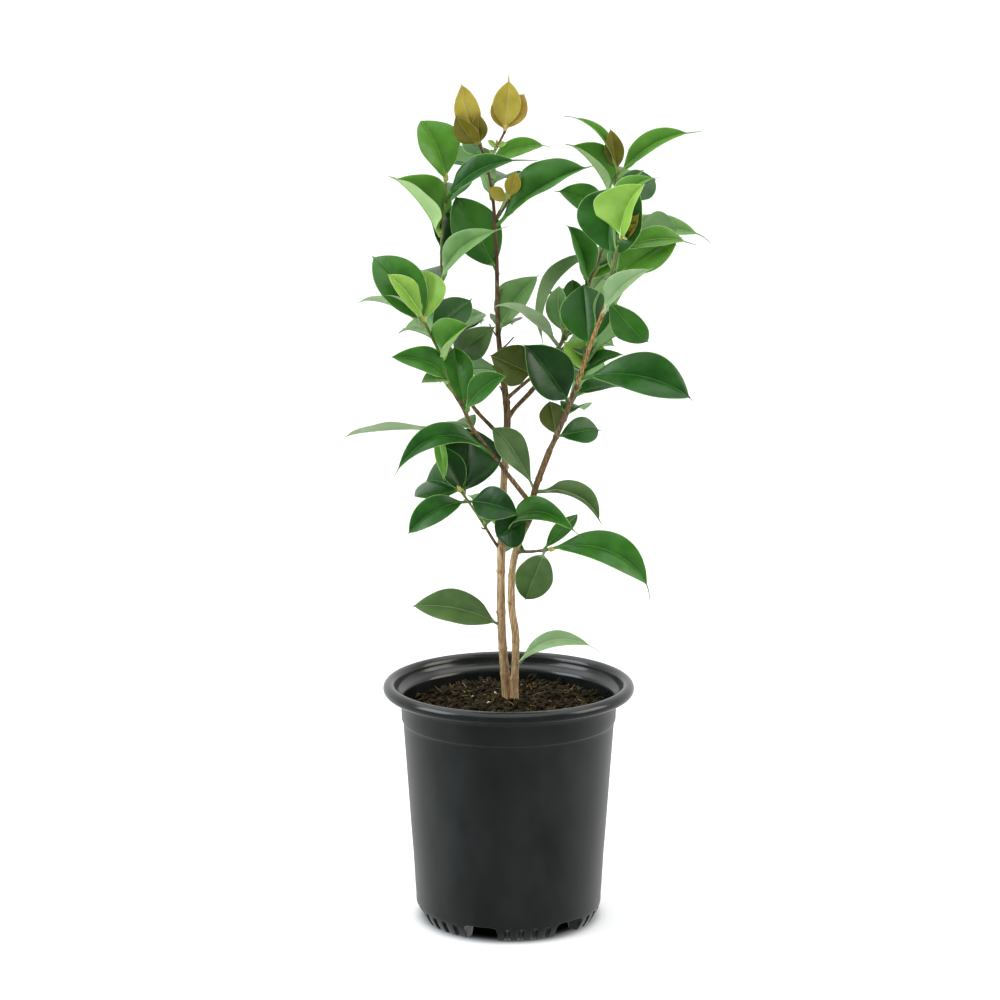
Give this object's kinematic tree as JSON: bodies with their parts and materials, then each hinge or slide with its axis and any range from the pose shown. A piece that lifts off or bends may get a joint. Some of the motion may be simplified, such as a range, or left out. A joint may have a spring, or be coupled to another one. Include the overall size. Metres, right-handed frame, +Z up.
{
  "type": "camellia shrub in a nursery pot",
  "caption": "Young evergreen shrub with slim forked stems and glossy pointed leaves, rooted in the soil of a round nursery pot with a rolled rim.",
  "frame": {"origin": "centre of the flat pad in the middle of the pot's underside, level with its feet", "axes": "+Z up through the pot's axis to the crown; the pictured side faces -Y; +X to the right in the picture"},
  "size_m": [0.2412, 0.179, 0.5526],
  "materials": {
    "pot": "satin",
    "soil": "rough",
    "bark": "rough",
    "foliage": "glossy"
  },
  "bodies": {
    "root": {"pot": "pot", "soil": "soil", "stem_left": "bark", "stem_right": "bark", "bough_low_left": "bark", "bough_high_left": "bark", "bough_rear": "bark", "bough_inner": "bark", "foliage_top": "foliage", "foliage_high_left": "foliage", "foliage_low_left": "foliage", "foliage_right": "foliage", "foliage_rear": "foliage", "foliage_inner": "foliage", "foliage_lower_left": "foliage", "foliage_lower_right": "foliage", "leaf_arching": "foliage", "leaf_low_left": "foliage", "leaf_between_stems": "foliage", "leaf_low_right": "foliage", "leaf_at_fork": "foliage", "leaf_upright": "foliage", "leaf_front": "foliage"}
  },
  "joints": []
}
